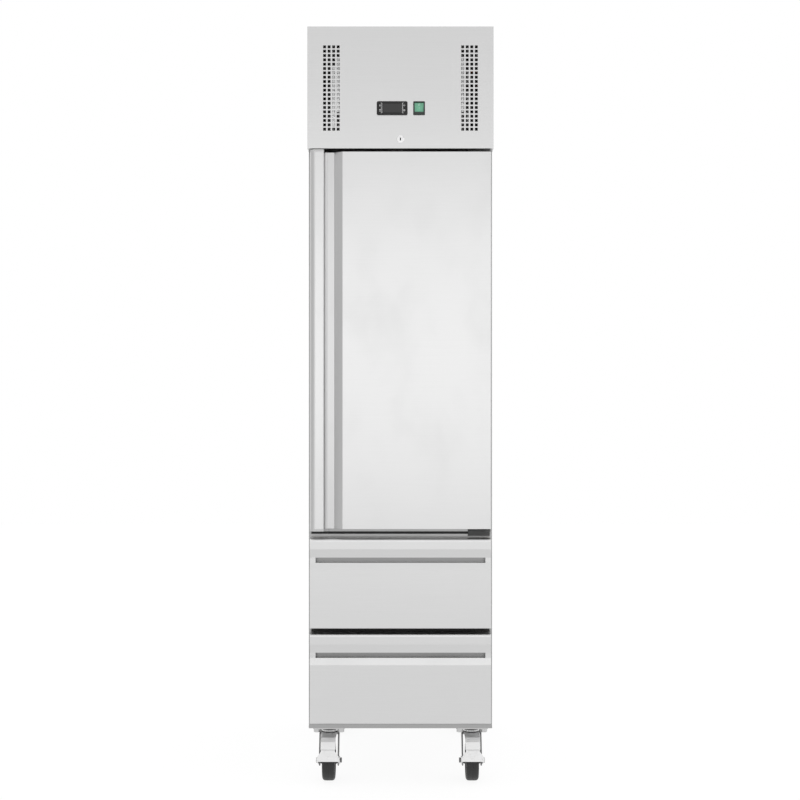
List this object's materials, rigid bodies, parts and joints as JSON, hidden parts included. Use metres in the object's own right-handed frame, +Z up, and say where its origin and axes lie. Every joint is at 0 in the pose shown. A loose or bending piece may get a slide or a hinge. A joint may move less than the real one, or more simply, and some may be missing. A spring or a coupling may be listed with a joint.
{
  "type": "upright freezer cabinet",
  "caption": "Tall narrow catering freezer on castors, with a vented control head on top, a hinged door with a full-height pocket handle and two drawers below.",
  "frame": {"origin": "on the floor, under the middle of the cabinet's overall box", "axes": "+X to the cabinet's right as seen from the front, +Y to the back, +Z up; the door and drawers face -Y"},
  "size_m": [0.46, 0.7, 1.88],
  "materials": {
    "painted_steel": "light grey satin paint",
    "stainless": "satin stainless sheet",
    "galvanised": "galvanised sheet",
    "frame_plastic": "dark matte plastic",
    "foam": "rigid foam, unfaced",
    "liner_steel": "satin stainless sheet",
    "liner_plastic": "white matte plastic",
    "gasket_rubber": "dark soft rubber",
    "coated_wire": "grey plastic-coated wire",
    "cap_plastic": "mid grey matte plastic",
    "bush_plastic": "black matte plastic",
    "fan_plastic": "black matte plastic",
    "coil_aluminium": "bare aluminium fins",
    "shroud_metal": "black satin paint",
    "compressor_black": "black satin paint",
    "copper_pipe": null,
    "box_plastic": "light grey matte plastic",
    "controller_plastic": "near-black matte plastic",
    "window_plastic": "dark clear plastic",
    "button_plastic": "dark grey matte plastic",
    "switch_black": "black matte plastic",
    "switch_green": "translucent green plastic",
    "lock_chrome": "polished nickel plate",
    "bracket_steel": "grey satin paint",
    "zinc_steel": "bright zinc plate",
    "wheel_rubber": "black rubber tread on a plastic hub",
    "pedal_plastic": "bright zinc plate"
  },
  "bodies": {
    "cabinet": {"outer_panels": "painted_steel", "back_panel": "galvanised", "machine_cover": "galvanised", "front_frame": "frame_plastic", "cabinet_insulation": "foam", "inner_liner": "liner_steel", "shelf_supports": "stainless", "wire_shelf_lower": "coated_wire", "wire_shelf_middle": "coated_wire", "wire_shelf_upper": "coated_wire", "evaporator_coil": "coil_aluminium", "evaporator_cover": "liner_plastic", "unit_plate": "galvanised", "condenser_coil": "coil_aluminium", "condenser_shroud": "shroud_metal", "compressor": "compressor_black", "refrigerant_pipes": "copper_pipe", "electrical_box": "box_plastic", "head_fascia": "stainless", "controller_case": "controller_plastic", "controller_window": "window_plastic", "switch_housing": "switch_black", "lock_barrel": "lock_chrome", "hinge_brackets": "bracket_steel", "outer_slides": "zinc_steel", "castor_plates": "zinc_steel"},
    "door": {"door_skin": "stainless", "door_insulation": "foam", "door_liner": "liner_plastic", "door_gasket": "gasket_rubber", "handle_end_caps": "cap_plastic", "hinge_bushes": "bush_plastic"},
    "upper_drawer": {"upper_drawer_front": "stainless", "upper_drawer_core": "foam", "upper_drawer_gasket": "gasket_rubber", "upper_drawer_bin": "liner_steel"},
    "upper_middle_slide_pair": {"upper_middle_slides": "zinc_steel"},
    "lower_drawer": {"lower_drawer_front": "stainless", "lower_drawer_core": "foam", "lower_drawer_gasket": "gasket_rubber", "lower_drawer_bin": "liner_steel"},
    "lower_middle_slide_pair": {"lower_middle_slides": "zinc_steel"},
    "lock": {"lock_plug": "lock_chrome"},
    "rocker": {"switch_rocker": "switch_green"},
    "button_1": {"controller_button_1": "button_plastic"},
    "button_2": {"controller_button_2": "button_plastic"},
    "button_3": {"controller_button_3": "button_plastic"},
    "button_4": {"controller_button_4": "button_plastic"},
    "cooling_fan": {"evaporator_fan": "fan_plastic"},
    "unit_fan": {"condenser_fan": "fan_plastic"},
    "swivel_front_left": {"castor_fork_front_left": "zinc_steel"},
    "wheel_front_left": {"castor_wheel_front_left": "wheel_rubber"},
    "pedal_front_left": {"brake_pedal_front_left": "pedal_plastic"},
    "swivel_front_right": {"castor_fork_front_right": "zinc_steel"},
    "wheel_front_right": {"castor_wheel_front_right": "wheel_rubber"},
    "pedal_front_right": {"brake_pedal_front_right": "pedal_plastic"},
    "swivel_rear_left": {"castor_fork_rear_left": "zinc_steel"},
    "wheel_rear_left": {"castor_wheel_rear_left": "wheel_rubber"},
    "swivel_rear_right": {"castor_fork_rear_right": "zinc_steel"},
    "wheel_rear_right": {"castor_wheel_rear_right": "wheel_rubber"}
  },
  "joints": [
    {"name": "door_hinge", "type": "hinge", "parent": "cabinet", "child": "door", "pos_m": [0.215, -0.3235, 1.105], "axis": [0, 0, 1], "range_deg": [0, 110]},
    {"name": "upper_drawer_slide", "type": "slide", "parent": "cabinet", "child": "upper_drawer", "axis": [0, -1, 0], "range_m": [0, 0.45]},
    {"name": "upper_middle_slide", "type": "slide", "parent": "cabinet", "child": "upper_middle_slide_pair", "axis": [0, -1, 0], "range_m": [0, 0.225]},
    {"name": "lower_drawer_slide", "type": "slide", "parent": "cabinet", "child": "lower_drawer", "axis": [0, -1, 0], "range_m": [0, 0.45]},
    {"name": "lower_middle_slide", "type": "slide", "parent": "cabinet", "child": "lower_middle_slide_pair", "axis": [0, -1, 0], "range_m": [0, 0.225]},
    {"name": "lock_turn", "type": "hinge", "parent": "cabinet", "child": "lock", "pos_m": [0, -0.3232, 1.6016], "axis": [0, -1, 0], "range_deg": [0, 90]},
    {"name": "rocker_tilt", "type": "hinge", "parent": "cabinet", "child": "rocker", "pos_m": [0.046, -0.342, 1.678], "axis": [-1, 0, 0], "range_deg": [0, 14]},
    {"name": "button_1_press", "type": "slide", "parent": "cabinet", "child": "button_1", "axis": [0, 1, 0], "range_m": [0, 0.0005], "stiffness_N_per_m": 300, "springref_m": -0.0005},
    {"name": "button_2_press", "type": "slide", "parent": "cabinet", "child": "button_2", "axis": [0, 1, 0], "range_m": [0, 0.0005], "stiffness_N_per_m": 300, "springref_m": -0.0005},
    {"name": "button_3_press", "type": "slide", "parent": "cabinet", "child": "button_3", "axis": [0, 1, 0], "range_m": [0, 0.0005], "stiffness_N_per_m": 300, "springref_m": -0.0005},
    {"name": "button_4_press", "type": "slide", "parent": "cabinet", "child": "button_4", "axis": [0, 1, 0], "range_m": [0, 0.0005], "stiffness_N_per_m": 300, "springref_m": -0.0005},
    {"name": "cooling_fan_spin", "type": "hinge", "parent": "cabinet", "child": "cooling_fan", "pos_m": [0, 0.131, 1.482], "axis": [0, 1, 0], "continuous": true},
    {"name": "unit_fan_spin", "type": "hinge", "parent": "cabinet", "child": "unit_fan", "pos_m": [0, -0.1772, 1.7035], "axis": [0, 1, 0], "continuous": true},
    {"name": "swivel_front_left", "type": "hinge", "parent": "cabinet", "child": "swivel_front_left", "pos_m": [-0.18, -0.233, 0.115], "axis": [0, 0, 1], "continuous": true},
    {"name": "roll_front_left", "type": "hinge", "parent": "swivel_front_left", "child": "wheel_front_left", "pos_m": [-0.18, -0.271, 0.05], "axis": [1, 0, 0], "continuous": true},
    {"name": "brake_front_left", "type": "hinge", "parent": "swivel_front_left", "child": "pedal_front_left", "pos_m": [-0.18, -0.271, 0.05], "axis": [1, 0, 0], "range_deg": [0, 14]},
    {"name": "swivel_front_right", "type": "hinge", "parent": "cabinet", "child": "swivel_front_right", "pos_m": [0.18, -0.233, 0.115], "axis": [0, 0, 1], "continuous": true},
    {"name": "roll_front_right", "type": "hinge", "parent": "swivel_front_right", "child": "wheel_front_right", "pos_m": [0.18, -0.271, 0.05], "axis": [1, 0, 0], "continuous": true},
    {"name": "brake_front_right", "type": "hinge", "parent": "swivel_front_right", "child": "pedal_front_right", "pos_m": [0.18, -0.271, 0.05], "axis": [1, 0, 0], "range_deg": [0, 14]},
    {"name": "swivel_rear_left", "type": "hinge", "parent": "cabinet", "child": "swivel_rear_left", "pos_m": [-0.18, 0.233, 0.115], "axis": [0, 0, 1], "continuous": true},
    {"name": "roll_rear_left", "type": "hinge", "parent": "swivel_rear_left", "child": "wheel_rear_left", "pos_m": [-0.18, 0.271, 0.05], "axis": [1, 0, 0], "continuous": true},
    {"name": "swivel_rear_right", "type": "hinge", "parent": "cabinet", "child": "swivel_rear_right", "pos_m": [0.18, 0.233, 0.115], "axis": [0, 0, 1], "continuous": true},
    {"name": "roll_rear_right", "type": "hinge", "parent": "swivel_rear_right", "child": "wheel_rear_right", "pos_m": [0.18, 0.271, 0.05], "axis": [1, 0, 0], "continuous": true}
  ],
  "couplings": [
    {"joint": "upper_middle_slide", "follows": "upper_drawer_slide", "ratio": 0.5},
    {"joint": "lower_middle_slide", "follows": "lower_drawer_slide", "ratio": 0.5}
  ]
}
